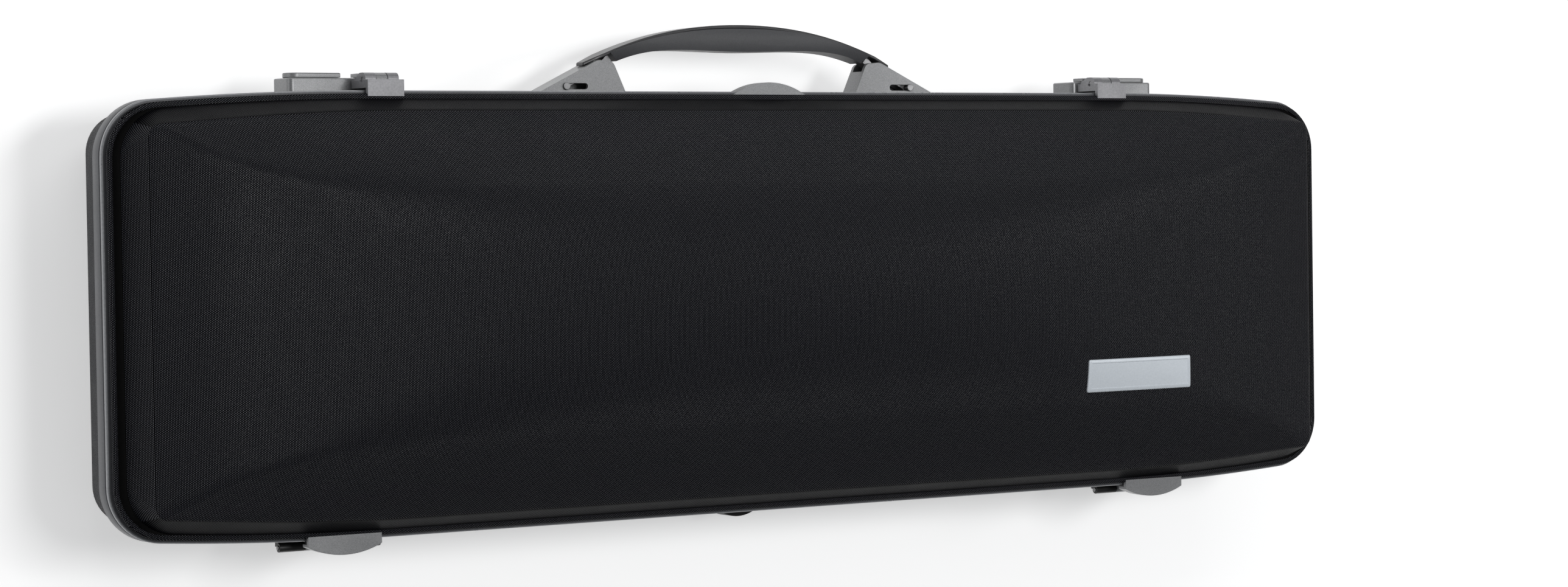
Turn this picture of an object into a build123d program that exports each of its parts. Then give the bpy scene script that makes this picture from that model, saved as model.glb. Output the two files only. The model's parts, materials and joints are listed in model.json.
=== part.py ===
from build123d import *
import os
from math import asin, cos, radians, sin, tan

# Oblong violin case, lying on its back with the lid up.  Millimetres.
# +X runs along the length, the handle is on the -Y side, the hinges on the +Y side.
# The origin is under the middle of the box, on the surface it lies on.

# ---- driving dimensions ------------------------------------------------------------------
HALF_LENGTH = 392.5          # seam outline, middle of an end
HALF_WIDTH = 115.3           # seam outline, middle of a long side
SEAM = 82.0                  # depth of the base, and so the height of the seam
LID_RISE = 46.0              # height of the lid's crown above the seam
CORNER_R = 28.0              # seam outline corners
SHOULDER_X = 300.0           # where the long sides start to ease in
SHOULDER_R = 1650.0
SHOULDER_DROP = 6.5
SHELL = 2.4                  # thermoformed shell wall
LINING = 1.8                 # velvet lining
GAP = 0.6                    # half of the seam gap

BAND_PROUD = 1.7             # the band stands this far outside the seam outline
BAND_DEEP = 13.3

HINGE_Y = 120.4              # lid hinge axis
HINGE_X = 266.0              # middle of each lid hinge
HASP_Y = -122.6              # hasp pin axis
HASP_Z = SEAM - 5.0
HANDLE_Z = SEAM - 35.0       # middle plane of the handle
PIN_X = 113.8                # handle pins at rest
PIN_Y = -120.6
PIN_TRAVEL = 12.0

os.makedirs("parts", exist_ok=True)


def save(name, part):
    part.label = name
    export_step(part, "parts/" + name + ".step")


# ---- outlines and shell forms -----------------------------------------------------------
def outline(end_in, side_in=None):
    """Closed outline of the case, set in from the seam outline at the ends and sides."""
    side_in = end_in if side_in is None else side_in
    a = HALF_LENGTH - end_in
    b = HALF_WIDTH - side_in
    s = SHOULDER_X - max(end_in, 0)
    drop = SHOULDER_DROP * (a - s) / (HALF_LENGTH - SHOULDER_X)
    corner = max(CORNER_R - 0.45 * (end_in + side_in), 6)
    shoulder = SHOULDER_R - 6 * max(end_in, 0)
    quarter = [(s, b), (a, b - drop), (a, drop - b), (s, -b)]
    points = quarter + [(-x, y) for x, y in reversed(quarter)]
    radii = [shoulder, corner, corner, shoulder] * 2
    with BuildSketch(mode=Mode.PRIVATE) as shape:
        with BuildLine():
            FilletPolyline(*points, radius=radii, close=True)
        make_face()
    return shape.sketch


def ring(z_low, z_high, outer_in, inner_in):
    """Flat ring between two outlines."""
    with BuildPart() as body:
        with BuildSketch(Plane.XY.offset(z_low)):
            add(outline(outer_in))
            add(outline(inner_in), mode=Mode.SUBTRACT)
        extrude(amount=z_high - z_low)
    return body.part


END_DRAFT, END_BEND = 13.5, 50.0       # slope of the base's end walls, and where they round in
SIDE_DRAFT, SIDE_BEND = 3.5, 61.0
BASE_STEPS = (50.0, 56.0, 61.0, 66.0, 71.0, 75.5, 79.0, 81.2, 82.0)


def wall_inset(depth, draft, bend):
    """How far the base's wall has moved in at a depth below the seam."""
    slope = radians(draft)
    if depth <= bend:
        return 1.0 + max(depth - BAND_DEEP, 0) * tan(slope)
    radius = (SEAM - bend) / (1 - sin(slope))
    angle = asin(min(sin(slope) + (depth - bend) / radius, 1))
    return 1.0 + (bend - BAND_DEEP) * tan(slope) + radius * (cos(slope) - cos(angle))


def base_form(skin, top):
    """The base as a solid, `skin` inside its outer face, up to the height `top`."""
    with BuildPart() as body:
        for depth in (SEAM - top + skin, BAND_DEEP + skin) + BASE_STEPS:
            end_in = wall_inset(depth, END_DRAFT, END_BEND) + skin
            side_in = wall_inset(depth, SIDE_DRAFT, SIDE_BEND) + skin
            with BuildSketch(Plane.XY.offset(SEAM - depth + skin)):
                add(outline(end_in, side_in))
        loft(ruled=True)
    return body.part


END_ARCH = [(389.5, 3.0), (376.0, 18.5), (322.0, 28.4)]     # wall foot, wall top, bevel top
SIDE_ARCH = [(112.6, 3.0), (105.2, 18.5), (73.0, 32.5)]
END_RISE = LID_RISE + 0.8    # the long arc stays above the cross arc in the middle


def along(arch, z):
    """Distance from the middle of the lid's wall or bevel at the height z."""
    (x0, z0), (x1, z1) = arch[:2] if z <= arch[1][1] else arch[1:]
    return x0 + (x1 - x0) * (z - z0) / (z1 - z0)


def crown(arch, rise, skin):
    """Profile under the crown's arc, carried on level beyond the top of the bevel."""
    half, z = arch[2]
    radius = (half ** 2 + (rise - z) ** 2) / (2 * (rise - z))
    edge = half + 5
    top = SEAM - skin + rise
    side = top - radius + (radius ** 2 - edge ** 2) ** 0.5
    with BuildLine() as lines:
        ThreePointArc((edge, side), (0, top), (-edge, side))
        Polyline((-edge, side), (-450, side), (-450, SEAM - 20), (450, SEAM - 20), (450, side),
                 (edge, side))
    return lines.line


def lid_form(skin, foot, floor):
    """The lid's walls, bevels and crown as a solid, `skin` inside its outer face."""
    with BuildPart() as body:
        for z, level in ((-5.0, -5.0), (18.5, 18.5), (36.0, 36.0), (36.0, LID_RISE + 10)):
            with BuildSketch(Plane.XY.offset(SEAM + level - skin)):
                add(outline(HALF_LENGTH - along(END_ARCH, z) + 0.9 * skin,
                            HALF_WIDTH - along(SIDE_ARCH, z) + 0.9 * skin))
        loft(ruled=True)
        with BuildSketch(Plane.XY.offset(SEAM + floor)):
            add(outline(foot))
        extrude(amount=LID_RISE + 20, mode=Mode.INTERSECT)
        with BuildSketch(Plane.XZ.offset(-150)):
            make_face(crown(END_ARCH, END_RISE, skin).edges())
        extrude(amount=300, mode=Mode.INTERSECT)
        with BuildSketch(Plane.YZ.offset(-450)):
            make_face(crown(SIDE_ARCH, LID_RISE, skin).edges())
        extrude(amount=900, mode=Mode.INTERSECT)
    return body.part


# ---- base -------------------------------------------------------------------------------
BAND_LIP = 3.0               # the band's inward lip covers the shell's edge
with BuildPart() as base_shell:
    add(base_form(0, SEAM - BAND_LIP))
    add(base_form(SHELL, SEAM + 1), mode=Mode.SUBTRACT)
save("base_shell", base_shell.part)

with BuildPart() as base_rim_band:
    add(ring(SEAM - BAND_DEEP, SEAM - GAP, -BAND_PROUD, 1.0))
    add(ring(SEAM - BAND_LIP, SEAM - GAP, 0.5, 4.6))
save("base_rim_band", base_rim_band.part)

save("seal_gasket", ring(SEAM - GAP, SEAM + 0.3, 1.6, 4.6))

LINING_TOP = SEAM - BAND_LIP - 0.3
with BuildPart() as base_lining:
    add(base_form(SHELL, SEAM + 1))
    add(base_form(SHELL + LINING, SEAM + 1), mode=Mode.SUBTRACT)
    split(bisect_by=Plane.XY.offset(LINING_TOP), keep=Keep.BOTTOM)
save("base_lining", base_lining.part)

# ---- fitted interior of the base --------------------------------------------------------
FOAM_TOP = SEAM - 10
RECESS_FLOOR = 22.0
NECK_FLOOR = 28.0
POCKET_FLOOR = 12.0
STRAP_Z = 52.0
BODY_END = 360.0             # lower end of the violin space
# half outline of the violin space: distance from its lower end, half width
BODY_HALF = [(0, 0), (6, 48), (30, 87), (78, 105.0), (125, 98), (160, 78), (196, 68), (232, 74),
             (268, 89), (302, 90), (334, 66), (350, 34)]
NECK_HALF = 31.0
NECK_X = (-238.0, 20.0)
POCKET_X = (-226.0, -26.0)
POCKET_Y = (37.0, 93.0)
LEDGE_Z = SEAM - 26          # the pocket lid lies on this ledge
END_BOX_X = (-352.0, -254.0)
END_BOX_Y = 92.0
PANEL = 4.0


def box(x, y, z, mode=Mode.ADD):
    """Box between two corners, given as ranges."""
    with Locations(((x[0] + x[1]) / 2, (y[0] + y[1]) / 2, (z[0] + z[1]) / 2)):
        Box(x[1] - x[0], y[1] - y[0], z[1] - z[0], mode=mode)


with BuildPart() as foam_cradle:
    add(base_form(SHELL + LINING + 0.3, SEAM + 1))
    split(bisect_by=Plane.XY.offset(FOAM_TOP), keep=Keep.BOTTOM)
    with BuildSketch(Plane.XY.offset(RECESS_FLOOR)):
        with BuildLine():
            half = [(BODY_END - d, w) for d, w in BODY_HALF]
            Spline(*half, *[(x, -w) for x, w in reversed(half[1:])], periodic=True)
        make_face()
    extrude(amount=SEAM, mode=Mode.SUBTRACT)
    box(NECK_X, (-NECK_HALF, NECK_HALF), (NECK_FLOOR, SEAM), mode=Mode.SUBTRACT)
    for side in (-1, 1):
        wide = sorted((side * POCKET_Y[0], side * POCKET_Y[1]))
        box(POCKET_X, wide, (POCKET_FLOOR, SEAM), mode=Mode.SUBTRACT)
    box((POCKET_X[0] - 5, POCKET_X[1] + 5), (POCKET_Y[0] - 2, POCKET_Y[1] + 1), (LEDGE_Z, SEAM),
        mode=Mode.SUBTRACT)
    box(END_BOX_X, (-END_BOX_Y, END_BOX_Y), (POCKET_FLOOR, SEAM), mode=Mode.SUBTRACT)
save("foam_cradle", foam_cradle.part)


def pad(name, x, half_y, z, radius):
    """Soft pad with rounded edges."""
    with BuildPart() as body:
        box(x, (-half_y, half_y), z)
        fillet(body.edges().filter_by(Axis.Z), radius)
        fillet(body.edges().group_by(Axis.Z)[-1], 3)
    save(name, body.part)


pad("lower_suspension_pad", (238, 330), 62, (RECESS_FLOOR + 0.1, RECESS_FLOOR + 11), 18)
pad("upper_suspension_pad", (42, 104), 50, (RECESS_FLOOR + 0.1, RECESS_FLOOR + 11), 16)

with BuildPart() as neck_pillow:
    box((-128, -64), (-NECK_HALF + 0.3, NECK_HALF - 0.3), (NECK_FLOOR + 0.1, STRAP_Z))
    with BuildSketch(Plane.YZ.offset(-130)):
        with Locations((0, STRAP_Z + 10)):
            Circle(21)
    extrude(amount=70, mode=Mode.SUBTRACT)
save("neck_pillow", neck_pillow.part)

with BuildPart() as neck_strap:
    with BuildSketch(Plane.YZ.offset(-106)):
        with Locations((0, STRAP_Z)):
            Circle(25.4)
            Circle(23.6, mode=Mode.SUBTRACT)
            with Locations((0, -30)):
                Rectangle(80, 60, mode=Mode.SUBTRACT)
    extrude(amount=20)
save("neck_strap", neck_strap.part)

POCKET_HINGE = (POCKET_Y[0] + 0.4, LEDGE_Z + 2.1)      # axis, in y and z
ROLL_R = 1.3
with BuildPart() as pocket_lid:
    box((POCKET_X[0] - 3, POCKET_X[1] + 3), (POCKET_HINGE[0] + ROLL_R + 0.4, POCKET_Y[1] - 0.3),
        (LEDGE_Z + 0.3, LEDGE_Z + PANEL))
    fillet(pocket_lid.edges().filter_by(Axis.Z), 2)
save("pocket_lid", pocket_lid.part)

with BuildPart() as pocket_lid_tab:
    box((-134, -118), (POCKET_Y[1] - 22, POCKET_Y[1] - 4), (LEDGE_Z + PANEL, LEDGE_Z + PANEL + 1.2))
save("pocket_lid_tab", pocket_lid_tab.part)

with BuildPart() as pocket_hinge_roll:
    with BuildSketch(Plane.YZ.offset(POCKET_X[0] - 3)):
        with Locations(POCKET_HINGE):
            Circle(ROLL_R)
    extrude(amount=POCKET_X[1] - POCKET_X[0] + 6)
save("pocket_hinge_roll", pocket_hinge_roll.part)

# ---- handle -----------------------------------------------------------------------------
BRACKET_Z = (HANDLE_Z - 7, HANDLE_Z + 7)
BRACKET = [(130.0, -110.0), (130.0, -117.6), (93.5, -135.2), (84.0, -134.4), (76.4, -117.8),
           (76.4, -110.0)]
PIN_R = 1.6


def bracket(side):
    """Wedge-shaped handle bracket with a slotted pocket for the strap and its pin."""
    points = [(side * x, y) for x, y in BRACKET]
    with BuildPart() as body:
        with BuildSketch(Plane.XY.offset(BRACKET_Z[0])):
            with BuildLine():
                FilletPolyline(*points, radius=[0.5, 1.5, 5.0, 4.0, 0.5, 0.5], close=True)
            make_face()
        extrude(amount=BRACKET_Z[1] - BRACKET_Z[0])
        with BuildSketch(Plane.XY.offset(BRACKET_Z[0] + 2)):
            with BuildLine():
                Polyline(*[(side * x, y) for x, y in
                           ((126.5, -108), (126.5, -117.6), (93, -133.7), (87, -133.0),
                            (80, -118.5), (80, -108))], close=True)
            make_face()
        extrude(amount=BRACKET_Z[1] - BRACKET_Z[0] - 4, mode=Mode.SUBTRACT)
        box(sorted((side * 82.0, side * 99.0)), (-140, -126), (HANDLE_Z - 4.6, HANDLE_Z + 4.6),
            mode=Mode.SUBTRACT)
        with BuildSketch(Plane.XY.offset(BRACKET_Z[0] + 1)):
            with Locations((side * (PIN_X - PIN_TRAVEL / 2), PIN_Y)):
                SlotCenterToCenter(PIN_TRAVEL, 2 * PIN_R + 0.12)
        extrude(amount=20, mode=Mode.SUBTRACT)
        add(base_form(0, SEAM - 1), mode=Mode.SUBTRACT)
    return body.part


def handle_pin(side):
    """Steel pin with a domed head, through the bracket's slot."""
    low, high = BRACKET_Z[0] + 1.1, BRACKET_Z[1] + 0.2
    with BuildPart() as body:
        with BuildSketch(Plane.XY.offset(low)):
            with Locations((side * PIN_X, PIN_Y)):
                Circle(PIN_R)
        extrude(amount=high - low)
        with BuildSketch(Plane.XY.offset(high)):
            with Locations((side * PIN_X, PIN_Y)):
                Circle(2.1)
        extrude(amount=1.1)
        fillet(body.edges().group_by(Axis.Z)[-1], 0.4)
    return body.part


def handle_tail(side):
    """Spring-steel tail of the handle strap, with its eye around the pin."""
    with BuildPart() as body:
        with BuildSketch(Plane.XY.offset(HANDLE_Z - 4)):
            with Locations((side * PIN_X, PIN_Y)):
                Circle(2.6)
            with BuildLine():
                Polyline(*[(side * x, y) for x, y in
                           ((114.8, -118.3), (101.0, -124.9), (101.6, -126.6), (112.6, -122.9))],
                         close=True)
            make_face()
            with Locations((side * PIN_X, PIN_Y)):
                Circle(PIN_R, mode=Mode.SUBTRACT)
        extrude(amount=8)
    return body.part


for hand, side in (("left", -1), ("right", 1)):
    save("handle_bracket_" + hand, bracket(side))
    save("handle_pin_" + hand, handle_pin(side))
    save("handle_tail_" + hand, handle_tail(side))

BAND_TOP = [(101.5, -133.8), (90.0, -138.7), (57.0, -149.3), (0.0, -155.6)]
BAND_THICK = 2.0
GRIP_TOP = [(86.0, -139.2), (57.0, -147.9), (0.0, -153.5)]
GRIP_HALF = 9.5
GRIP_LOW = [(0.0, -140.3), (46.0, -141.0), (60.0, -140.0), (81.0, -134.6)]


def mirrored(points, dy=0.0):
    """Points from the right end over the middle to the left end."""
    right = [(x, y + dy) for x, y in points]
    return right + [(-x, y) for x, y in reversed(right[:-1])]


BAND_HALF = 7.0              # half width of the top band, and of its tips
TIP_HALF = 3.5
with BuildPart() as handle_band:
    with BuildSketch(Plane.XY.offset(HANDLE_Z - BAND_HALF)):
        with BuildLine():
            upper = Spline(*mirrored(BAND_TOP))
            lower = Spline(*mirrored(BAND_TOP, BAND_THICK))
            Line(upper @ 0, lower @ 0)
            Line(upper @ 1, lower @ 1)
        make_face()
    extrude(amount=2 * BAND_HALF)
    with BuildSketch(Plane.XZ.offset(100)):
        with BuildLine():
            half = [(103, HANDLE_Z + TIP_HALF), (90, HANDLE_Z + BAND_HALF)]
            top = half + [(-x, z) for x, z in reversed(half)]
            Polyline(*top, *[(x, 2 * HANDLE_Z - z) for x, z in reversed(top)], close=True)
        make_face()
    extrude(amount=80, mode=Mode.INTERSECT)
save("handle_band", handle_band.part)

with BuildPart() as handle_grip:
    with BuildSketch(Plane.XY.offset(HANDLE_Z - GRIP_HALF)):
        with BuildLine():
            upper = Spline(*mirrored(GRIP_TOP))
            lower = Spline(*mirrored(GRIP_LOW[::-1]))
            Line(upper @ 0, lower @ 0)
            Line(upper @ 1, lower @ 1)
        make_face()
    extrude(amount=2 * GRIP_HALF)
    with BuildSketch(Plane.YZ.offset(-100)):
        with Locations((-147.5, HANDLE_Z)):
            Ellipse(15.5, GRIP_HALF)
    extrude(amount=200, mode=Mode.INTERSECT)
    add(handle_band.part, mode=Mode.SUBTRACT)
save("handle_grip", handle_grip.part)


def handle_core(side):
    """Steel strap where it leaves the grip and dips into the bracket."""
    with BuildPart() as body:
        with BuildSketch(Plane.XY.offset(HANDLE_Z - 4)):
            with BuildLine():
                Polyline(*[(side * x, y) for x, y in
                           ((83.4, -135.0), (86.2, -138.4), (93.6, -131.2), (91.0, -129.4))],
                         close=True)
            make_face()
        extrude(amount=8)
        add(handle_grip.part, mode=Mode.SUBTRACT)
        add(handle_band.part, mode=Mode.SUBTRACT)
    return body.part


for hand, side in (("left", -1), ("right", 1)):
    save("handle_core_" + hand, handle_core(side))

# ---- latches ----------------------------------------------------------------------------
BODY_X = (224.0, 284.0)
BODY_Z = (SEAM - 38.0, SEAM - 17.5)
BODY_Y = -124.0
EAR_Z = (SEAM - 14.5, SEAM - 1.2)
HASP_R = 3.6
HASP_PIN_R = 1.5
STRIKE_Y = -118.2


def span(side, x0, x1):
    return sorted((side * x0, side * x1))


def latch_body(side):
    """Box of the side latch, fixed to the base behind the band."""
    with BuildPart() as body:
        box(span(side, *BODY_X), (BODY_Y, -110), BODY_Z)
        fillet(body.edges().filter_by(Axis.Y), 3.0)
        fillet(body.faces().sort_by(Axis.Y)[0].edges(), 0.8)
        box(span(side, BODY_X[0] - 3.5, BODY_X[1] + 3.5), (-116.6, -110),
            (BODY_Z[0] - 1.5, BODY_Z[1]))
        box(span(side, 258, 276), (BODY_Y - 1, BODY_Y + 2.2), (SEAM - 28.2, SEAM - 23.8),
            mode=Mode.SUBTRACT)
        add(base_form(0, SEAM - 1), mode=Mode.SUBTRACT)
    return body.part


def latch_slider(side):
    """Thumb slide that frees the hasp, with its stem in the body's slot."""
    with BuildPart() as body:
        with BuildSketch(Plane.XZ.offset(-BODY_Y + 0.2)):
            with Locations((side * 268, SEAM - 26)):
                SlotOverall(30, 12)
            box_low, box_high = span(side, 253, 266)
            with Locations(((box_low + box_high) / 2, SEAM - 26)):
                Rectangle(13, 12)
        extrude(amount=2.6)
        fillet(body.faces().sort_by(Axis.Y)[0].edges(), 0.7)
        box(span(side, 259.5, 266.5), (BODY_Y - 0.5, BODY_Y + 1.9), (SEAM - 28, SEAM - 24))
    return body.part


def strike(side):
    """Strike block on the lid's rim, with the two ears that carry the hasp pin."""
    with BuildPart() as body:
        box(span(side, 227.5, 248.5), (STRIKE_Y - 4.4, STRIKE_Y), (SEAM - 16.5, SEAM + 3.2))
        box(span(side, 227.5, 248.5), (STRIKE_Y - 0.5, -113.8), (SEAM + GAP + 0.1, SEAM + 3.2))
        for x0, x1 in ((228.3, 234.6), (241.4, 247.7)):
            with BuildSketch(Plane.YZ.offset(min(side * x0, side * x1))):
                with BuildLine():
                    FilletPolyline((-121, EAR_Z[1]), (-126.4, EAR_Z[1]), (-126.4, SEAM - 8.2),
                                   (-123.6, EAR_Z[0]), (-121, EAR_Z[0]),
                                   radius=[0, 3.4, 1.5, 0.5, 0], close=True)
                make_face()
            extrude(amount=x1 - x0)
        with BuildSketch(Plane.YZ.offset(-300)):
            with Locations((HASP_Y, HASP_Z)):
                Circle(HASP_PIN_R)
        extrude(amount=600, mode=Mode.SUBTRACT)
        box(span(side, 234.6, 241.4), (-130, HASP_Y + HASP_R + 0.3), (SEAM - 16.5, SEAM - 0.9),
            mode=Mode.SUBTRACT)
    return body.part


def hasp(side):
    """Hasp: a barrel on the pin with a plate that lies over the latch body."""
    with BuildPart() as body:
        with BuildSketch(Plane.YZ.offset(min(side * 234.8, side * 241.2))):
            with Locations((HASP_Y, HASP_Z)):
                Circle(HASP_R)
            with Locations((-125.4, SEAM - 11.5)):
                Rectangle(1.9, 13)
            with Locations((HASP_Y, HASP_Z)):
                Circle(HASP_PIN_R + 0.05, mode=Mode.SUBTRACT)
        extrude(amount=6.4)
        box(span(side, 231.5, 244.5), (-126.35, -124.45), (SEAM - 26.0, SEAM - 16.8))
        box(span(side, 235.0, 241.0), (-126.35, -124.45), (SEAM - 30.0, SEAM - 25.0))
        with BuildSketch(Plane.YZ.offset(-300)):
            with Locations((HASP_Y, HASP_Z)):
                Circle(HASP_PIN_R + 0.05)
        extrude(amount=600, mode=Mode.SUBTRACT)
    return body.part


def hasp_pin(side):
    with BuildPart() as body:
        with BuildSketch(Plane.YZ.offset(min(side * 228.5, side * 247.5))):
            with Locations((HASP_Y, HASP_Z)):
                Circle(HASP_PIN_R)
        extrude(amount=19)
    return body.part


for hand, side in (("left", -1), ("right", 1)):
    save("latch_body_" + hand, latch_body(side))
    save("latch_slider_" + hand, latch_slider(side))
    save("strike_" + hand, strike(side))
    save("hasp_" + hand, hasp(side))
    save("hasp_pin_" + hand, hasp_pin(side))

# ---- locator, bumper and hinges ---------------------------------------------------------
with BuildPart() as centre_locator:
    with BuildSketch(Plane.XY.offset(SEAM - 8)):
        with BuildLine():
            ThreePointArc((-24.3, -114.9), (0, -122.2), (24.3, -114.9))
            Line((-24.3, -114.9), (24.3, -114.9))
        make_face()
    extrude(amount=8.2)
    with BuildSketch(Plane.XY.offset(SEAM - 20)):
        add(outline(-BAND_PROUD))
    extrude(amount=20 - GAP, mode=Mode.SUBTRACT)
save("centre_locator", centre_locator.part)

BUMPER_Z = (SEAM - 54, SEAM - 40)
with BuildPart() as bottom_bumper:
    with BuildSketch(Plane.XY.offset(BUMPER_Z[0])):
        with BuildLine():
            ThreePointArc((-17, 115.5), (0, 123.4), (17, 115.5))
            Polyline((17, 115.5), (17, 110), (-17, 110), (-17, 115.5))
        make_face()
    extrude(amount=BUMPER_Z[1] - BUMPER_Z[0])
    add(base_form(0, SEAM - 1), mode=Mode.SUBTRACT)
save("bottom_bumper", bottom_bumper.part)

HINGE_Z = SEAM - 17.0
HINGE_R = 2.4
HINGE_PIN_R = 1.2
FOOT_Y = 117.9


def hinge_foot(x):
    """Lid half of a hinge: the lens-shaped foot plate, its arm and the middle knuckle."""
    with BuildPart() as body:
        with BuildSketch(Plane.XY.offset(SEAM - 4)):
            with BuildLine():
                ThreePointArc((x - 21, 119.4), (x, 124.3), (x + 21, 119.4))
                Polyline((x + 21, 119.4), (x + 21, FOOT_Y), (x - 21, FOOT_Y), (x - 21, 119.4))
            make_face()
        extrude(amount=7.2)
        box((x - 21, x + 21), (113.8, FOOT_Y + 0.5), (SEAM + GAP + 0.1, SEAM + 3.2))
        box((x - 14, x + 14), (118.1, 121.4), (HINGE_Z, SEAM - 3.5))
        with BuildSketch(Plane.YZ.offset(x - 14)):
            with Locations((HINGE_Y, HINGE_Z)):
                Circle(HINGE_R)
        extrude(amount=28)
        with BuildSketch(Plane.YZ.offset(x - 40)):
            with Locations((HINGE_Y, HINGE_Z)):
                Circle(HINGE_PIN_R + 0.05)
        extrude(amount=80, mode=Mode.SUBTRACT)
    return body.part


def hinge_leaf(x):
    """Base half of a hinge: a plate on the wall and the two outer knuckles."""
    with BuildPart() as body:
        box((x - 29, x + 29), (110, 118.0), (HINGE_Z - 17, HINGE_Z))
        for x0 in (x - 29, x + 14.4):
            with BuildSketch(Plane.YZ.offset(x0)):
                with Locations((HINGE_Y, HINGE_Z)):
                    Circle(HINGE_R)
                with Locations((118.5, HINGE_Z - 2)):
                    Rectangle(3.0, 4.0)
            extrude(amount=14.6)
        box((x - 14.4, x + 14.4), (117.4, 130), (HINGE_Z - 3.2, HINGE_Z + 5), mode=Mode.SUBTRACT)
        with BuildSketch(Plane.YZ.offset(x - 40)):
            with Locations((HINGE_Y, HINGE_Z)):
                Circle(HINGE_PIN_R)
        extrude(amount=80, mode=Mode.SUBTRACT)
        add(base_form(0, SEAM - 1), mode=Mode.SUBTRACT)
    return body.part


def hinge_pin(x):
    with BuildPart() as body:
        with BuildSketch(Plane.YZ.offset(x - 29.6)):
            with Locations((HINGE_Y, HINGE_Z)):
                Circle(HINGE_PIN_R)
        extrude(amount=59.2)
    return body.part


for hand, side in (("left", -1), ("right", 1)):
    save("hinge_foot_" + hand, hinge_foot(side * HINGE_X))
    save("hinge_leaf_" + hand, hinge_leaf(side * HINGE_X))
    save("hinge_pin_" + hand, hinge_pin(side * HINGE_X))

with BuildPart() as hinge_screws:
    for x in (-HINGE_X - 20, -HINGE_X + 20, HINGE_X - 20, HINGE_X + 20):
        with BuildSketch(Plane.XZ.offset(-118.0)):
            with Locations((x, HINGE_Z - 10.5)):
                Circle(2.7)
        extrude(amount=-1.2)
save("hinge_screws", hinge_screws.part)

# ---- lid --------------------------------------------------------------------------------
FLANGE_TOP = 3.8
with BuildPart() as lid_shell:
    with BuildSketch(Plane.XY.offset(SEAM + GAP)):
        add(outline(0))
    extrude(amount=FLANGE_TOP - GAP)
    fillet(lid_shell.faces().sort_by(Axis.Z)[-1].edges(), 1.2)
    add(lid_form(0, 3.5, 3.0))
    add(lid_form(SHELL, 6.0, GAP - 1), mode=Mode.SUBTRACT)
    for side in (-1, 1):
        box(span(side, 227.5, 248.5), (-117, -113.8), (SEAM, SEAM + 3.2), mode=Mode.SUBTRACT)
        box(span(side, HINGE_X - 21, HINGE_X + 21), (113.8, 117), (SEAM, SEAM + 3.2),
            mode=Mode.SUBTRACT)
save("lid_shell", lid_shell.part)

LID_FRAME_TOP = 9.0
with BuildPart() as lid_frame:
    add(ring(SEAM + GAP, SEAM + LID_FRAME_TOP, 6.0, 9.0))
    add(lid_form(SHELL, 6.0, GAP), mode=Mode.INTERSECT)
save("lid_frame", lid_frame.part)

with BuildPart() as lid_lining:
    add(lid_form(SHELL, 6.0, LID_FRAME_TOP))
    add(lid_form(SHELL + LINING, 7.8, LID_FRAME_TOP - 1), mode=Mode.SUBTRACT)
save("lid_lining", lid_lining.part)

PLATE = (79.0, 19.0, 1.2)
PLATE_AT = (-230.0, 48.5)
CROWN_SAG = END_RISE - END_ARCH[2][1]
CROWN_HALF = END_ARCH[2][0]
CROWN_R = (CROWN_HALF ** 2 + CROWN_SAG ** 2) / (2 * CROWN_SAG)
plate_tilt = asin(PLATE_AT[0] / CROWN_R)
plate_z = SEAM + END_RISE - CROWN_R * (1 - cos(plate_tilt))
plate_plane = Plane(origin=(PLATE_AT[0], PLATE_AT[1], plate_z + 0.02),
                    x_dir=(cos(plate_tilt), 0, -sin(plate_tilt)),
                    z_dir=(sin(plate_tilt), 0, cos(plate_tilt)))
with BuildPart() as nameplate:
    with BuildSketch(plate_plane):
        RectangleRounded(PLATE[0], PLATE[1], 0.8)
    extrude(amount=PLATE[2])
    fillet(nameplate.faces().sort_by(Axis.Z)[-1].edges(), 0.4)
save("nameplate", nameplate.part)

# bow holders inside the lid
BOW_Y = 36.0
CLIP_X = 240.0
POUCH_X = (-348.0, -296.0)


def lid_room():
    return lid_form(SHELL + LINING + 0.05, 8.0, 1.0)


def clip_base(y):
    with BuildPart() as body:
        with BuildSketch(Plane.XY.offset(SEAM + 25)):
            with Locations((CLIP_X, y)):
                Circle(13)
        extrude(amount=20)
        with BuildSketch(Plane.XY.offset(SEAM + 21)):
            with Locations((CLIP_X, y)):
                Circle(3)
        extrude(amount=6)
        add(lid_room(), mode=Mode.INTERSECT)
    return body.part


def bow_clip(y):
    """Turning clip: a bar with a lip at each end that closes over the bow."""
    with BuildPart() as body:
        with BuildSketch(Plane.XY.offset(SEAM + 17)):
            with Locations((CLIP_X, y)):
                SlotOverall(34, 12)
        extrude(amount=4)
        fillet(body.edges().group_by(Axis.Z)[0], 1.2)
        with BuildSketch(Plane.XY.offset(SEAM + 20.5)):
            with Locations((CLIP_X, y)):
                Circle(6)
        extrude(amount=4.3)
        with BuildSketch(Plane.XY.offset(SEAM + 20.7)):
            with Locations((CLIP_X, y)):
                Circle(3.05)
        extrude(amount=6, mode=Mode.SUBTRACT)
    return body.part


def tip_pouch(y):
    """Pouch for the bow's tip, open towards the middle of the lid."""
    with BuildPart() as body:
        box(POUCH_X, (y - 14, y + 14), (SEAM + 10, SEAM + 60))
        add(lid_room(), mode=Mode.INTERSECT)
        box((POUCH_X[0] + 6, POUCH_X[1] + 1), (y - 11, y + 11), (SEAM + 12, SEAM + 19),
            mode=Mode.SUBTRACT)
    return body.part


for number, y in ((1, -BOW_Y), (2, BOW_Y)):
    save("bow_clip_base_%d" % number, clip_base(y))
    save("bow_clip_%d" % number, bow_clip(y))
    save("bow_tip_pouch_%d" % number, tip_pouch(y))

with BuildPart() as bow_rest:
    box((-8, 8), (-56, 56), (SEAM + 26, SEAM + 60))
    add(lid_room(), mode=Mode.INTERSECT)
save("bow_rest", bow_rest.part)
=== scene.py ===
import json
from math import atan2, cos, pi, radians, sin

import bmesh
import bpy
import numpy as np
from mathutils import Matrix, Vector

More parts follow.
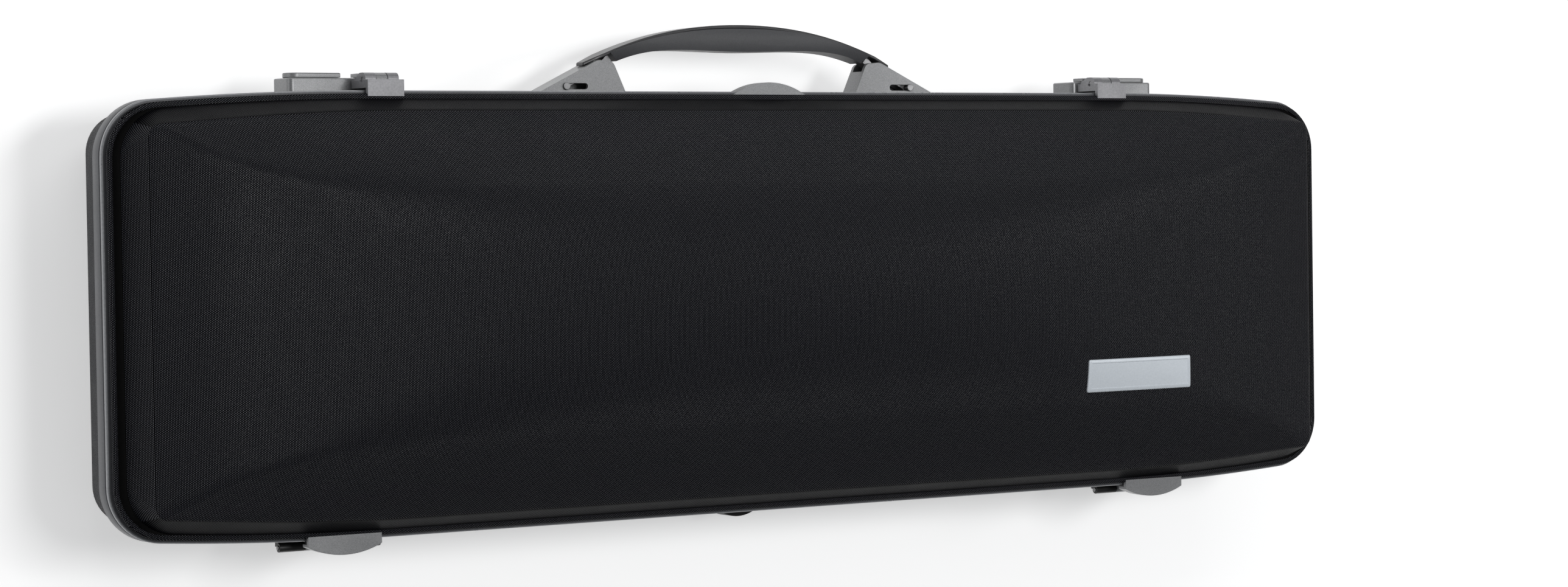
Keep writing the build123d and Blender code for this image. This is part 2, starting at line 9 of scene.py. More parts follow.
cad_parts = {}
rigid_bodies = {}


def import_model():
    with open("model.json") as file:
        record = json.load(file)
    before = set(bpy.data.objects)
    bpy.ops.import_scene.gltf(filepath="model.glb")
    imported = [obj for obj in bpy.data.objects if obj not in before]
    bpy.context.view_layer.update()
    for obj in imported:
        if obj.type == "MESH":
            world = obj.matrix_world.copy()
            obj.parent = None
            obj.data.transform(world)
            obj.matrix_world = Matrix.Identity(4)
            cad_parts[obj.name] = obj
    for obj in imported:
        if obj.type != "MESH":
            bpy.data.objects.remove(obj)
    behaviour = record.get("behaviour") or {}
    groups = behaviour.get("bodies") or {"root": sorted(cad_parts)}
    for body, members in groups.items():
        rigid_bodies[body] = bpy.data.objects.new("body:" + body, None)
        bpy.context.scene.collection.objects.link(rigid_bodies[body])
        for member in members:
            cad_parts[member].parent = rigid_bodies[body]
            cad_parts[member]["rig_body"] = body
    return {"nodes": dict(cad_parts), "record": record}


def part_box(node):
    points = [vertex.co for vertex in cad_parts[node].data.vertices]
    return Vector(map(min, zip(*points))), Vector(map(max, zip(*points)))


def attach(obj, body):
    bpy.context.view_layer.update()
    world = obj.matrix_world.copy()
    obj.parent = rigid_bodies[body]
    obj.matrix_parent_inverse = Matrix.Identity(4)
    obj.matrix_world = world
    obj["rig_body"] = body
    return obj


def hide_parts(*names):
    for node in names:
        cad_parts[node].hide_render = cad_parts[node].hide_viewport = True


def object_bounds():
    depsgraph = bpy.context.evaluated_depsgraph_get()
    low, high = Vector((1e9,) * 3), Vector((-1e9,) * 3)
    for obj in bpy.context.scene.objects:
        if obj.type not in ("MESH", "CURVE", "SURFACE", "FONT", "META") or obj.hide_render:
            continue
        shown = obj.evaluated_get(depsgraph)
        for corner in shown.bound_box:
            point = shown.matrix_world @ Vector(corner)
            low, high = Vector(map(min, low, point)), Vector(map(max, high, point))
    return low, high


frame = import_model()
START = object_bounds()
MM = 0.001

# ---- sizes read from the frame, in millimetres ------------------------------------------
band_low, band_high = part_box("base_rim_band")
lid_low, lid_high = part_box("lid_shell")
SEAM = band_high.z / MM + 0.6            # middle of the seam, over the band's top
HALF_LENGTH = lid_high.x / MM
HALF_WIDTH = lid_high.y / MM
RISE = lid_high.z / MM - SEAM            # the crown over the seam
CORNER_R = 28.0                          # the seam outline's corners
SHOULDER_X, SHOULDER_R, SHOULDER_DROP = 300.0, 1650.0, 6.5   # where the long sides ease in


# ---- materials --------------------------------------------------------------------------
def shader(name):
    material = bpy.data.materials.new(name)
    material.use_nodes = True
    tree = material.node_tree
    return material, tree, tree.nodes["Principled BSDF"]


def node(tree, kind, **inputs):
    made = tree.nodes.new("ShaderNode" + kind)
    for key, value in inputs.items():
        if hasattr(made, key):
            setattr(made, key, value)
        else:
            made.inputs[key.replace("_", " ")].default_value = value
    return made


def math(tree, operation, a, b=None):
    made = node(tree, "Math", operation=operation)
    for i, value in enumerate((a, b)):
        if value is None:
            continue
        if hasattr(value, "is_output"):
            tree.links.new(value, made.inputs[i])
        else:
            made.inputs[i].default_value = value
    return made.outputs[0]


def noise(tree, scale, detail=3.0, roughness=0.6):
    place = node(tree, "TexCoord")
    made = node(tree, "TexNoise", Scale=scale, Detail=detail, Roughness=roughness)
    tree.links.new(place.outputs["Object"], made.inputs["Vector"])
    return made.outputs["Fac"]


def ramp(tree, value, stops):
    made = node(tree, "ValToRGB")
    elements = made.color_ramp.elements
    while len(elements) < len(stops):
        elements.new(0.5)
    for element, (position, grey) in zip(elements, stops):
        element.position = position
        element.color = (grey, grey, grey, 1) if isinstance(grey, float) else (*grey, 1)
    tree.links.new(value, made.inputs["Fac"])
    return made.outputs["Color"]


def bump(tree, bsdf, height, distance, strength=1.0):
    made = node(tree, "Bump", Strength=strength, Distance=distance)
    tree.links.new(height, made.inputs["Height"])
    tree.links.new(made.outputs["Normal"], bsdf.inputs["Normal"])


DOT_PITCH = (1.556 * MM, 0.898 * MM)     # the lattice's cell along and across


def dotted_shell():
    """Near-black satin plastic covered with a hexagonal lattice of small raised dots."""
    material, tree, bsdf = shader("dotted shell")
    place = node(tree, "TexCoord")
    point = node(tree, "SeparateXYZ")
    normal = node(tree, "SeparateXYZ")
    tree.links.new(place.outputs["Object"], point.inputs[0])
    tree.links.new(place.outputs["Normal"], normal.inputs[0])
    x, y, z = point.outputs
    nx, ny, nz = [math(tree, "ABSOLUTE", out) for out in normal.outputs]
    on_top = math(tree, "GREATER_THAN", nz, 0.72)
    on_end = math(tree, "GREATER_THAN", nx, ny)

    def pick(chosen, a, b):
        return math(tree, "ADD", math(tree, "MULTIPLY", chosen, a),
                    math(tree, "MULTIPLY", math(tree, "SUBTRACT", 1.0, chosen), b))

    along = pick(on_top, x, pick(on_end, z, x))
    across = pick(on_top, y, pick(on_end, y, z))
    pitch_x, pitch_y = DOT_PITCH

    def from_lattice(shift):
        total = None
        for value, pitch in ((along, pitch_x), (across, pitch_y)):
            cells = math(tree, "ADD", math(tree, "DIVIDE", value, pitch), shift)
            cell = math(tree, "FRACT", cells)
            off = math(tree, "MULTIPLY", math(tree, "SUBTRACT", cell, 0.5), pitch / MM)
            square = math(tree, "MULTIPLY", off, off)
            total = square if total is None else math(tree, "ADD", total, square)
        return math(tree, "SQRT", total)

    distance = math(tree, "MINIMUM", from_lattice(100.0), from_lattice(100.5))
    # on the long side walls the dots' lighter grey, specular and bump are cut to a quarter; the
    # darker walls this gives are painted shade
    sides_dimmed_painted_shade = math(tree, "MAXIMUM", math(tree, "MAXIMUM", on_top, on_end), 0.25)
    dot = math(tree, "MULTIPLY", ramp(tree, distance, [(0.13, 1.0), (0.31, 0.0)]), sides_dimmed_painted_shade)
    # the raised dots are real; their lighter grey over the near-black ground is partly painted
    # highlight, standing for the glint the dots catch
    shade = node(tree, "Mix", data_type="RGBA")
    shade.inputs["A"].default_value = (0.0005, 0.0005, 0.0008, 1)
    shade.inputs["B"].default_value = (0.045, 0.047, 0.060, 1)
    tree.links.new(dot, shade.inputs["Factor"])
    tree.links.new(shade.outputs["Result"], bsdf.inputs["Base Color"])
    rough = ramp(tree, noise(tree, 60.0, 4.0), [(0.35, 0.32), (0.7, 0.38)])
    tree.links.new(rough, bsdf.inputs["Roughness"])
    tree.links.new(ramp(tree, dot, [(0.0, 0.0), (1.0, 0.9)]), bsdf.inputs["Specular IOR Level"])
    bump(tree, bsdf, dot, 0.00012, 0.8)
    return material


def satin(name, dark, light, rough, grain=900.0, depth=0.00003, metallic=0.0, specular=0.5):
    """Satin moulding or coating with a fine grain."""
    material, tree, bsdf = shader(name)
    tree.links.new(ramp(tree, noise(tree, grain, 3.0), [(0.3, dark), (0.7, light)]),
                   bsdf.inputs["Base Color"])
    low = ramp(tree, noise(tree, 45.0, 5.0), [(0.3, rough - 0.05), (0.7, rough + 0.05)])
    tree.links.new(low, bsdf.inputs["Roughness"])
    bsdf.inputs["Metallic"].default_value = metallic
    bsdf.inputs["Specular IOR Level"].default_value = specular
    bump(tree, bsdf, noise(tree, grain * 1.7, 2.0), depth, 0.7)
    return material


def velvet(name, colour):
    material, tree, bsdf = shader(name)
    dark = tuple(0.55 * c for c in colour)
    tree.links.new(ramp(tree, noise(tree, 1600.0, 2.0), [(0.3, dark), (0.7, colour)]),
                   bsdf.inputs["Base Color"])
    bsdf.inputs["Roughness"].default_value = 0.95
    bsdf.inputs["Specular IOR Level"].default_value = 0.1
    bsdf.inputs["Sheen Weight"].default_value = 0.9
    bsdf.inputs["Sheen Roughness"].default_value = 0.35
    bsdf.inputs["Sheen Tint"].default_value = (*[min(1, 3.5 * c) for c in colour], 1)
    both = math(tree, "ADD", math(tree, "MULTIPLY", noise(tree, 55.0, 4.0), 2.0),
                noise(tree, 2200.0, 2.0))
    bump(tree, bsdf, both, 0.00035, 0.6)
    return material


def woven(name, colour):
    material, tree, bsdf = shader(name)
    place = node(tree, "TexCoord")
    wave = node(tree, "TexWave", Scale=420.0, Distortion=1.5, Detail=1.0,
                bands_direction="DIAGONAL")
    tree.links.new(place.outputs["Object"], wave.inputs["Vector"])
    dark = tuple(0.4 * c for c in colour)
    tree.links.new(ramp(tree, wave.outputs["Fac"], [(0.2, dark), (0.8, colour)]),
                   bsdf.inputs["Base Color"])
    bsdf.inputs["Roughness"].default_value = 0.85
    bump(tree, bsdf, wave.outputs["Fac"], 0.0002, 0.8)
    return material


SHELL = dotted_shell()
BAND = satin("rim moulding", (0.075, 0.077, 0.083), (0.095, 0.097, 0.104), 0.40, specular=0.4)
# EDGE: lighter, half-metal grey for the band's rounded top edge; the strip is partly real and
# partly painted highlight standing for the bright line along that edge
EDGE = satin("rim edge painted highlight", (0.20, 0.205, 0.215), (0.26, 0.265, 0.275), 0.30, metallic=0.4)
ZINC = satin("speckled zinc", (0.19, 0.193, 0.198), (0.32, 0.323, 0.328), 0.36, 2600.0, 0.00003,
             0.4)
BLOCK = satin("strike grey", (0.22, 0.22, 0.23), (0.28, 0.28, 0.29), 0.40, 900.0, 0.00003, 0.5)
STEEL = satin("steel", (0.22, 0.22, 0.225), (0.30, 0.30, 0.305), 0.34, 500.0, 0.00001, 0.7)
GRIP = satin("grip plastic", (0.068, 0.069, 0.073), (0.084, 0.085, 0.090), 0.42, 1500.0,
             specular=0.35)
GRIP_TOP = satin("grip band", (0.020, 0.020, 0.022), (0.028, 0.028, 0.031), 0.34, 1500.0,
                 specular=0.5)
PLATE = satin("plate", (0.68, 0.73, 0.78), (0.74, 0.79, 0.84), 0.38, 900.0, 0.00001, 0.1)
# SHADE: near-black with no sheen, laid on the lid's ledge step as painted shade, where that step
# only lies in shadow
SHADE = satin("painted shade black", (0.002, 0.002, 0.002), (0.003, 0.003, 0.003), 0.6, specular=0.05)
PLASTIC = satin("black plastic", (0.012, 0.012, 0.012), (0.02, 0.02, 0.02), 0.45)
RUBBER = satin("rubber", (0.012, 0.012, 0.012), (0.022, 0.022, 0.022), 0.75, 1200.0, 0.00005)
VELVET = velvet("velvet", (0.060, 0.075, 0.125))
STRAP = woven("strap", (0.05, 0.05, 0.06))

LOOKS = {"shell": SHELL, "band": BAND, "zinc": ZINC, "steel": STEEL, "grip": GRIP, "plate": PLATE,
         "plastic": PLASTIC, "rubber": RUBBER, "velvet": VELVET, "strap": STRAP}
SLOT = {p["node"]: p["material_slot"] for p in frame["record"]["subparts"]}


# ---- meshes -----------------------------------------------------------------------------
def add_mesh(name, points, faces, materials, face_material=None, angle=35):
    mesh = bpy.data.meshes.new(name)
    mesh.from_pydata([tuple(p) for p in points], [], faces)
    work = bmesh.new()
    work.from_mesh(mesh)
    if face_material:
        for face, index in zip(work.faces, face_material):
            face.material_index = index
    bmesh.ops.remove_doubles(work, verts=work.verts, dist=1e-6)
    bmesh.ops.recalc_face_normals(work, faces=work.faces)
    work.to_mesh(mesh)
    work.free()
    for material in materials:
        mesh.materials.append(material)
    mesh.shade_smooth()
    mesh.set_sharp_from_angle(angle=radians(angle))
    made = bpy.data.objects.new(name, mesh)
    bpy.context.scene.collection.objects.link(made)
    return made


def stands_for(made, name):
    """The new object takes a CAD node's place and body; the CAD node is hidden."""
    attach(made, frame["nodes"][name]["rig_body"])
    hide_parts(name)
    return made


def merged_copy(name):
    """Copy of a CAD node's mesh with its split vertices joined."""
    mesh = frame["nodes"][name].data.copy()
    mesh.materials.clear()
    work = bmesh.new()
    work.from_mesh(mesh)
    bmesh.ops.remove_doubles(work, verts=work.verts, dist=1e-6)
    bmesh.ops.dissolve_limit(work, angle_limit=radians(1), verts=work.verts, edges=work.edges)
    work.to_mesh(mesh)
    work.free()
    made = bpy.data.objects.new(name + "_look", mesh)
    bpy.context.scene.collection.objects.link(made)
    return made


def apply_all(made):
    """Replace an object's mesh by what its modifiers make of it."""
    graph = bpy.context.evaluated_depsgraph_get()
    mesh = bpy.data.meshes.new_from_object(made.evaluated_get(graph))
    made.modifiers.clear()
    made.data = mesh
    return made


def refine(name, width=0.35, material=None, segments=2, angle=35):
    """CAD node with its edges broken, as a casting or moulding has them."""
    made = merged_copy(name)
    made.data.materials.append(material or LOOKS[SLOT[name]])
    edge = made.modifiers.new("edge", "BEVEL")
    edge.width = width * MM
    edge.segments = segments
    edge.limit_method = "ANGLE"
    edge.angle_limit = radians(angle)
    edge.use_clamp_overlap = True
    bpy.context.view_layer.update()
    apply_all(made)
    made.data.shade_smooth()
    made.data.set_sharp_from_angle(angle=radians(42))
    flat = made.modifiers.new("flat faces", "WEIGHTED_NORMAL")
    flat.keep_sharp = True
    apply_all(made)
    return stands_for(made, name)


def fillet_line(points, radii, arc_steps, line_steps):
    """Closed polyline with rounded corners, always the same number of points."""
    count = len(points)
    corners = []
    for i in range(count):
        p = np.array(points[i], float)
        a = np.array(points[i - 1], float) - p
        b = np.array(points[(i + 1) % count], float) - p
        a /= np.linalg.norm(a)
        b /= np.linalg.norm(b)
        half = np.arccos(np.clip(a @ b, -1, 1)) / 2
        reach = radii[i] / np.tan(half)
        centre = p + (a + b) / np.linalg.norm(a + b) * radii[i] / np.sin(half)
        first, last = p + a * reach, p + b * reach
        t0 = atan2(*(first - centre)[::-1])
        t1 = atan2(*(last - centre)[::-1])
        turn = (t1 - t0 + pi) % (2 * pi) - pi
        steps = np.linspace(0, 1, arc_steps[i] + 1)
        corners.append([centre + radii[i] * np.array([cos(t0 + turn * s), sin(t0 + turn * s)])
                        for s in steps])
    line = []
    for i in range(count):
        line += corners[i]
        end, start = corners[i][-1], corners[(i + 1) % count][0]
        for s in np.linspace(0, 1, line_steps[i] + 1)[1:-1]:
            line.append(end + (start - end) * s)
    return np.array(line)


def outline(end_in, side_in=None, corner=None):
    """The case's outline, set in from the seam outline; it matches the frame's."""
    side_in = end_in if side_in is None else side_in
    a = HALF_LENGTH - end_in
    b = HALF_WIDTH - side_in
    s = SHOULDER_X - max(end_in, 0)
    drop = SHOULDER_DROP * (a - s) / (HALF_LENGTH - SHOULDER_X)
    corner = corner or max(CORNER_R - 0.45 * (end_in + side_in), 6)
    shoulder = SHOULDER_R - 6 * max(end_in, 0)
    quarter = [(s, b), (a, b - drop), (a, drop - b), (s, -b)]
    points = quarter + [(-x, y) for x, y in reversed(quarter)]
    radii = [shoulder, corner, corner, shoulder] * 2
    return fillet_line(points, radii, [14, 14, 14, 14] * 2, [6, 46, 6, 120] * 2)


def ring_faces(rings, count, closed=False):
    faces = []
    pairs = range(rings if closed else rings - 1)
    for r in pairs:
        a, b = r * count, ((r + 1) % rings) * count
        faces += [(a + i, a + (i + 1) % count, b + (i + 1) % count, b + i) for i in range(count)]
    return faces


def sweep(name, profile, materials, edge_material=None, node_name=None):
    """Moulding of one profile, (inset, height from the seam), carried round the outline."""
    points = []
    for inset, z in profile:
        line = outline(inset)
        points += [(x * MM, y * MM, (SEAM + z) * MM) for x, y in line]
    count = len(line)
    faces = ring_faces(len(profile), count, closed=True)
    index = None
    if edge_material:
        index = [1 if i // count in edge_material else 0 for i in range(len(faces))]
    made = add_mesh(name, points, faces, materials, index, 30)
    return stands_for(made, node_name)


# ---- lid --------------------------------------------------------------------------------
LEDGE = 3.1                              # height of the wall's foot over the seam
# inset at the ends and the sides, height over the seam, corner: wall foot, wall top, bevel end
FOOT = (6.9, 2.7, LEDGE, 26.0)
WALL_TOP = (16.5, 10.1, 18.5, 6.0)
BEVEL_END = (89.0, 45.8, 34.0, 6.0)
# half length of the crown's arc, its rise over the seam, its height at the arc's end
END_CROWN = (322.0, RISE + 0.8, 28.4)
SIDE_CROWN = (73.0, RISE, 32.5)


def soft_min(a, b, k):
    near = np.maximum(k - np.abs(a - b), 0) / k
    return np.minimum(a, b) - near * near * k / 4


def crown_height(x, y):
    """Height over the seam of the lid's crown, two arcs crossing."""
    arcs = []
    for v, (half, rise, z) in ((x, END_CROWN), (y, SIDE_CROWN)):
        radius = (half ** 2 + (rise - z) ** 2) / (2 * (rise - z))
        arcs.append(rise - radius + np.sqrt(np.maximum(radius ** 2 - v ** 2, 1)))
    blend = 0.6 + 6.0 * np.clip((372 - np.abs(x)) / 110, 0, 1) ** 1.5
    return soft_min(arcs[0], arcs[1], blend)


def lid_steps():
    """Wall and bevel as a row of insets, heights and corners; the crease between is soft."""
    steps = []
    for low, high, parts in ((FOOT, WALL_TOP, 26), (WALL_TOP, BEVEL_END, 40)):
        for t in np.linspace(0, 1, parts + 1)[0 if low is FOOT else 1:]:
            end_in, side_in, z, corner = [a + (b - a) * t for a, b in zip(low, high)]
            ease = 0.22 * max(0, 1 - abs(side_in - WALL_TOP[1]) / 0.9) ** 2
            steps.append((end_in, side_in, z - ease, corner))
    return steps


def lid_rings(skin=0.0, least=0.0, floor=0.0, spine_steps=22):
    """Rings over the lid from its foot to its middle line, `skin` inside its outer face."""
    rings = []
    for end_in, side_in, z, corner in lid_steps():
        if z - skin < floor:
            continue
        line = outline(max(end_in + 0.9 * skin, least), max(side_in + 0.9 * skin, least), corner)
        top = crown_height(line[:, 0], line[:, 1])
        z = soft_min(np.full(len(line), z), top, 1.4)
        rings.append(np.column_stack([line, np.maximum(z - skin, floor)]))
    last = rings[-1][:, :2]
    reach = HALF_LENGTH - HALF_WIDTH
    spine = np.column_stack([np.clip(last[:, 0], -reach, reach), np.zeros(len(last))])
    for t in np.linspace(0, 1, spine_steps + 1)[1:]:
        line = last + (spine - last) * t
        rings.append(np.column_stack([line, crown_height(line[:, 0], line[:, 1]) - skin]))
    return rings


def flat_ring(inset, z_side, z_end):
    line = outline(inset)
    end = np.clip((np.abs(line[:, 0]) - HALF_LENGTH + 45) / 30, 0, 1)
    return np.column_stack([line, z_side + (z_end - z_side) * end])


def skin_mesh(name, outside, inside, materials, angle, rim=False, painted_shade_ring=None):
    """Closed-over skin from its outer and inner rings, one step of it in a near-black painted
    shade.
    """
    points = np.vstack(outside + inside)
    points[:, 2] += SEAM
    around = len(outside[0])
    shift = len(outside) * around
    faces = ring_faces(len(outside), around)
    faces += [tuple(i + shift for i in reversed(f)) for f in ring_faces(len(inside), around)]
    if rim:
        faces += [(i, (i + 1) % around, shift + (i + 1) % around, shift + i)
                  for i in range(around)]
    index = None
    if painted_shade_ring is not None:
        index = [1 if i // around == painted_shade_ring else 0 for i in range(len(faces))]
    return add_mesh(name, points * MM, faces, materials, index, angle)


# inset, height along the sides, height along the ends where the lip stands up as a bead
lip = [(6.8, 0.6, 0.6), (0.5, 0.6, 0.6), (0.0, 1.0, 1.1), (0.0, 1.9, 2.8), (0.3, 2.4, 3.4),
       (0.8, 2.75, 3.75), (1.6, 3.0, 3.85), (2.3, 3.08, 3.7), (2.7, 3.1, 3.3)]
outer = [flat_ring(*step) for step in lip] + lid_rings()
inner = [flat_ring(*lip[0])] + lid_rings(2.4, 6.8, 0.6)
# the step from the lip's last ring to the wall's foot takes SHADE: painted shade on the ledge
lid = skin_mesh("lid_skin", outer, inner, [SHELL, SHADE], 50, False, len(lip) - 1)
stands_for(lid, "lid_shell")


pocket_low, pocket_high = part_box("pocket_lid")


def quilt(x, y):
    """How far the lid's padding stands out: full panels between stitched lines.

    It is flat where the pocket lid swings up to it."""
    across = np.abs(np.mod(x + 60, 120) - 60) / 9
    along = np.abs(np.abs(y) - 30) / 9
    edge = np.clip((92 - np.abs(y)) / 9, 0, 1) + 0.15
    fade = np.clip((HALF_LENGTH - 20 - np.abs(x)) / 12, 0, 1)
    off_x = np.maximum(pocket_low.x / MM - x, x - pocket_high.x / MM) / 15
    off_y = (np.abs(y - pocket_low.y / MM) - 24) / 15
    fade = fade * np.clip(np.maximum(off_x, off_y), 0, 1)
    return 3.2 * np.sqrt(np.clip(np.minimum.reduce([across, along, edge]), 0, 1)) * fade


padding_out = lid_rings(2.6, 9.6, 9.0, 44)
padding_in = lid_rings(4.4, 11.4, 9.0, 44)
for line in padding_in:
    line[:, 2] = np.maximum(line[:, 2] - quilt(line[:, 0], line[:, 1]), 9.0)
padding = skin_mesh("lid_padding", padding_out, padding_in, [VELVET], 80, True)
stands_for(padding, "lid_lining")

# ---- base mouldings ---------------------------------------------------------------------
band_profile = [(1.0, -13.3), (-0.7, -13.3), (-1.4, -13.0), (-1.7, -12.3), (-1.7, -4.6),
                (-1.5, -4.2), (-0.8, -4.0), (-0.7, -3.4), (-1.0, -3.1), (-1.6, -2.9),
                (-1.7, -2.5), (-1.7, -1.3), (-1.4, -0.8), (-0.9, -0.6), (4.6, -0.6), (4.6, -3.0),
                (1.0, -3.0)]
# faces 8 to 12, the band's rounded top edge, take EDGE: partly painted highlight
sweep("rim_moulding", band_profile, [BAND, EDGE], (8, 9, 10, 11, 12), "base_rim_band")
sweep("seal", [(1.6, -0.6), (1.6, 0.0), (2.2, 0.3), (4.0, 0.3), (4.6, 0.0), (4.6, -0.6)],
      [RUBBER], None, "seal_gasket")

refine("base_shell", 0.3, SHELL, 1, 60)
refine("base_lining", 0.3, VELVET, 1, 60)
refine("lid_frame", 0.4, BAND)

# ---- hardware ---------------------------------------------------------------------------
for hand in ("left", "right"):
    for name in ("handle_bracket_", "latch_body_", "latch_slider_", "hasp_", "hinge_foot_"):
        refine(name + hand, 0.35)
    refine("hinge_leaf_" + hand, 0.35, PLASTIC)
    refine("strike_" + hand, 0.35, BLOCK)
    for name in ("handle_pin_", "handle_tail_", "hasp_pin_", "hinge_pin_", "handle_core_"):
        refine(name + hand, 0.2)
refine("centre_locator", 0.4)
refine("bottom_bumper", 0.6)
refine("hinge_screws", 0.25)
refine("handle_band", 0.6, GRIP_TOP, 3)
refine("handle_grip", 0.8, None, 3)

# ---- nameplate --------------------------------------------------------------------------
plate_low, plate_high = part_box("nameplate")
plate_x = (plate_low.x + plate_high.x) / 2 / MM
plate_y = (plate_low.y + plate_high.y) / 2 / MM
half_x, half_y = 39.5, (plate_high.y - plate_low.y) / 2 / MM
# inset from the plate's edge, height over the crown
levels = [(0.0, -0.4), (0.0, 0.75), (0.25, 1.05), (0.6, 1.2), (2.0, 1.2), (2.3, 0.95), (2.6, 0.95)]
rings = []
for inset, up in levels:
    hx, hy = half_x - inset, half_y - inset
    corner = max(1.2 - inset * 0.4, 0.4)
    line = fillet_line([(hx, hy), (hx, -hy), (-hx, -hy), (-hx, hy)], [corner] * 4, [5] * 4,
                       [8, 30, 8, 30])
    x, y = line[:, 0] + plate_x, line[:, 1] + plate_y
    rings.append(np.column_stack([x, y, crown_height(x, y) + up]))
for t in (0.5, 1.0):
    base = rings[-1] if t == 0.5 else rings[-2]
    x = plate_x + np.clip(base[:, 0] - plate_x, -(half_x - half_y), half_x - half_y)
    y = np.full(len(x), plate_y)
    x, y = base[:, 0] + (x - base[:, 0]) * t, base[:, 1] + (y - base[:, 1]) * t
    rings.append(np.column_stack([x, y, crown_height(x, y) + 0.95]))
points = np.vstack(rings)
points[:, 2] += SEAM
plate = add_mesh("plate", points * MM, ring_faces(len(rings), len(rings[0])), [PLATE], None, 30)
stands_for(plate, "nameplate")


# ---- interior ---------------------------------------------------------------------------
CLOTH_STEPS = 20


def soft_block(name, voxel=4.0, pressure=4.0, cap=2.0, cloth=True):
    """Foam or stuffed piece under a velvet cover: remeshed, puffed up as cloth, smoothed."""
    made = merged_copy(name)
    made.data.materials.append(VELVET)
    cover = made.modifiers.new("voxels", "REMESH")
    cover.mode = "VOXEL"
    cover.voxel_size = voxel * MM
    apply_all(made)
    rest = np.array([v.co for v in made.data.vertices])
    if cloth:
        sim = made.modifiers.new("cloth", "CLOTH")
        sim.settings.use_pressure = True
        sim.settings.uniform_pressure_force = pressure
        sim.settings.effector_weights.gravity = 0
        sim.settings.quality = 4
        sim.settings.tension_stiffness = 25
        sim.settings.compression_stiffness = 25
        sim.point_cache.frame_start = 1
        sim.point_cache.frame_end = CLOTH_STEPS
        for step in range(1, CLOTH_STEPS + 1):
            bpy.context.scene.frame_set(step)
        apply_all(made)
        bpy.context.scene.frame_set(1)
        moved = np.array([v.co for v in made.data.vertices]) - rest
        size = np.linalg.norm(moved, axis=1, keepdims=True)
        moved *= np.minimum(1, cap * MM / np.maximum(size, 1e-9))
        made.data.vertices.foreach_set("co", (rest + moved).ravel())
    ease = made.modifiers.new("ease", "SMOOTH")
    ease.factor = 0.5
    ease.iterations = 3
    finer = made.modifiers.new("finer", "SUBSURF")
    finer.levels = finer.render_levels = 1
    apply_all(made)
    low, high = [np.array(c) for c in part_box(name)]
    fitted = np.clip(np.array([v.co for v in made.data.vertices]), low - 0.001, high + 0.001)
    made.data.vertices.foreach_set("co", fitted.ravel())
    made.data.shade_smooth()
    stands_for(made, name)
    made.data.materials.clear()
    made.data.materials.append(VELVET)
    return made


soft_block("foam_cradle", 3.6, cloth=False)
for name in ("lower_suspension_pad", "upper_suspension_pad", "neck_pillow"):
    soft_block(name, 4.0)
soft_block("bow_rest", 4.0, 2.0, 1.0)
for number in ("1", "2"):
    soft_block("bow_tip_pouch_" + number, 1.5, cloth=False)
    refine("bow_clip_base_" + number, 0.4)
    refine("bow_clip_" + number, 0.4)
refine("neck_strap", 0.4)
refine("pocket_lid", 1.0, VELVET, 3)
refine("pocket_lid_tab", 0.3)
refine("pocket_hinge_roll", 0.3)

# ---- floor, light and camera ------------------------------------------------------------
floor_mesh = bpy.data.meshes.new("floor")
floor_mesh.from_pydata([(-9, -9, 0), (9, -9, 0), (9, 9, 0), (-9, 9, 0)], [], [(0, 1, 2, 3)])
floor = bpy.data.objects.new("floor", floor_mesh)
bpy.context.scene.collection.objects.link(floor)
floor.location.z = START[0][2] - 0.0003
paper, tree, bsdf = shader("paper")
bsdf.inputs["Base Color"].default_value = (0.90, 0.90, 0.90, 1)
bsdf.inputs["Roughness"].default_value = 0.9
bsdf.inputs["Specular IOR Level"].default_value = 0.1
bsdf.inputs["Emission Color"].default_value = (1, 1, 1, 1)
bsdf.inputs["Emission Strength"].default_value = 0.47
floor_mesh.materials.append(paper)


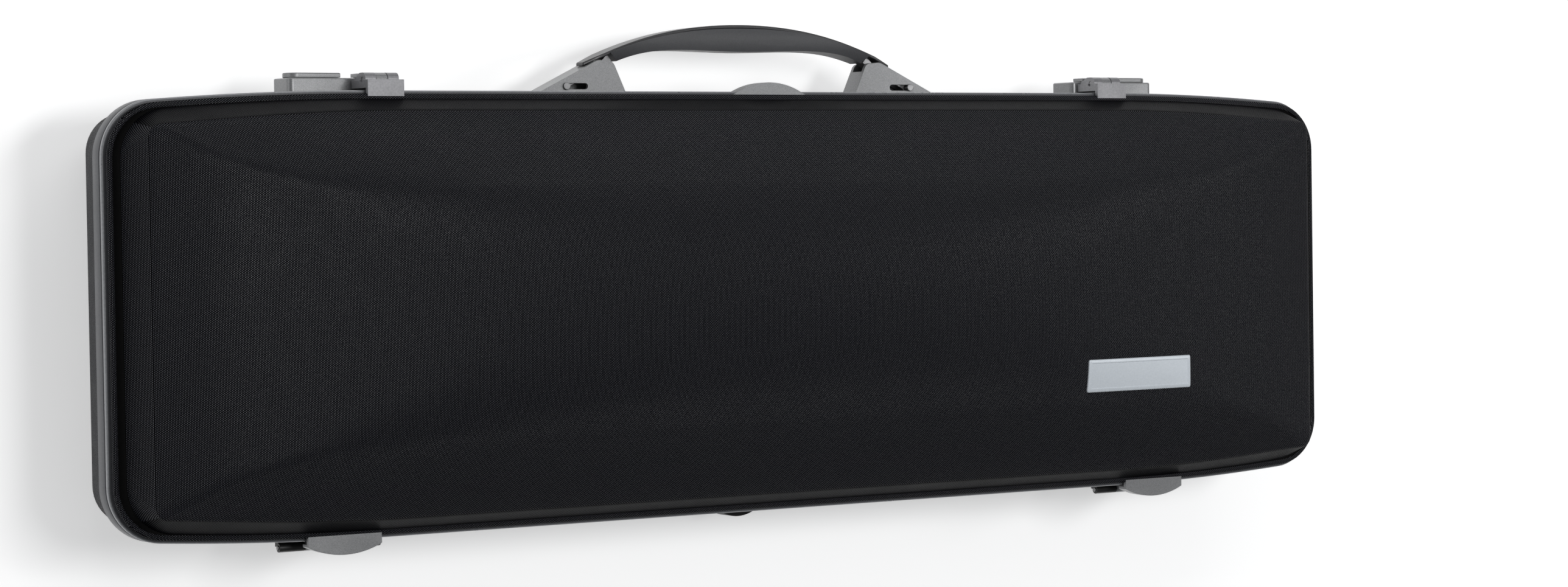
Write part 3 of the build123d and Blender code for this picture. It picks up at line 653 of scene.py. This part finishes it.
def softbox(name, place, aim, size, watts):
    data = bpy.data.lights.new(name, "AREA")
    data.shape = "RECTANGLE"
    data.size, data.size_y = size
    data.energy = watts
    made = bpy.data.objects.new(name, data)
    bpy.context.scene.collection.objects.link(made)
    made.location = place
    made.rotation_euler = (Vector(aim) - Vector(place)).to_track_quat("-Z", "Y").to_euler()


softbox("key", (0.1, -1.5, 1.5), (0, 0, 0.08), (2.2, 0.7), 8)
softbox("end", (1.9, 0.1, 0.45), (0.3, 0, 0.08), (1.2, 0.5), 5)
softbox("crown left", (-0.2, -0.3, 2.4), (0.2, 0, 0.08), (0.35, 0.9), 18)
softbox("crown right", (-1.9, -0.3, 1.95), (-0.2, 0, 0.08), (0.4, 0.9), 8)
world = bpy.data.worlds.new("studio")
bpy.context.scene.world = world
world.use_nodes = True
sky = world.node_tree
side = node(sky, "SeparateXYZ")
sky.links.new(node(sky, "TexCoord").outputs["Generated"], side.inputs[0])
from_hinges = math(sky, "ADD", math(sky, "MULTIPLY", side.outputs["Y"], 0.5), 0.5)
sky.links.new(ramp(sky, from_hinges, [(0.25, (0.9, 0.92, 0.95)), (0.85, (0.35, 0.36, 0.37))]),
              sky.nodes["Background"].inputs["Color"])
sky.nodes["Background"].inputs["Strength"].default_value = 0.25

# the camera stands in front of the upright case, so it is worked out there and laid down
yaw, pitch, roll = radians(32.32), radians(1.55), radians(-0.87)
look = Vector((sin(yaw) * cos(pitch), cos(yaw) * cos(pitch), -sin(pitch)))
level = Vector((cos(yaw), -sin(yaw), 0))
upright = level.cross(look)
right = cos(roll) * level + sin(roll) * upright
up = cos(roll) * upright - sin(roll) * level


def lying(v):
    """Direction of the standing case turned to the case lying on its back."""
    return Vector((-v.x, -v.z, -v.y))


camera_data = bpy.data.cameras.new("camera")
camera = bpy.data.objects.new("camera", camera_data)
bpy.context.scene.collection.objects.link(camera)
turn = Matrix((lying(right), lying(up), -lying(look))).transposed()
camera.matrix_world = Matrix.Translation((1.0497, -0.0575, (SEAM + 1671.2) * MM)) @ turn.to_4x4()
camera_data.sensor_width = 36.0
camera_data.sensor_fit = "HORIZONTAL"
camera_data.lens = 81.056
camera_data.clip_start = 0.05
camera_data.clip_end = 50
bpy.context.scene.camera = camera
bpy.context.scene.view_settings.view_transform = "Standard"
bpy.context.scene.view_settings.look = "None"
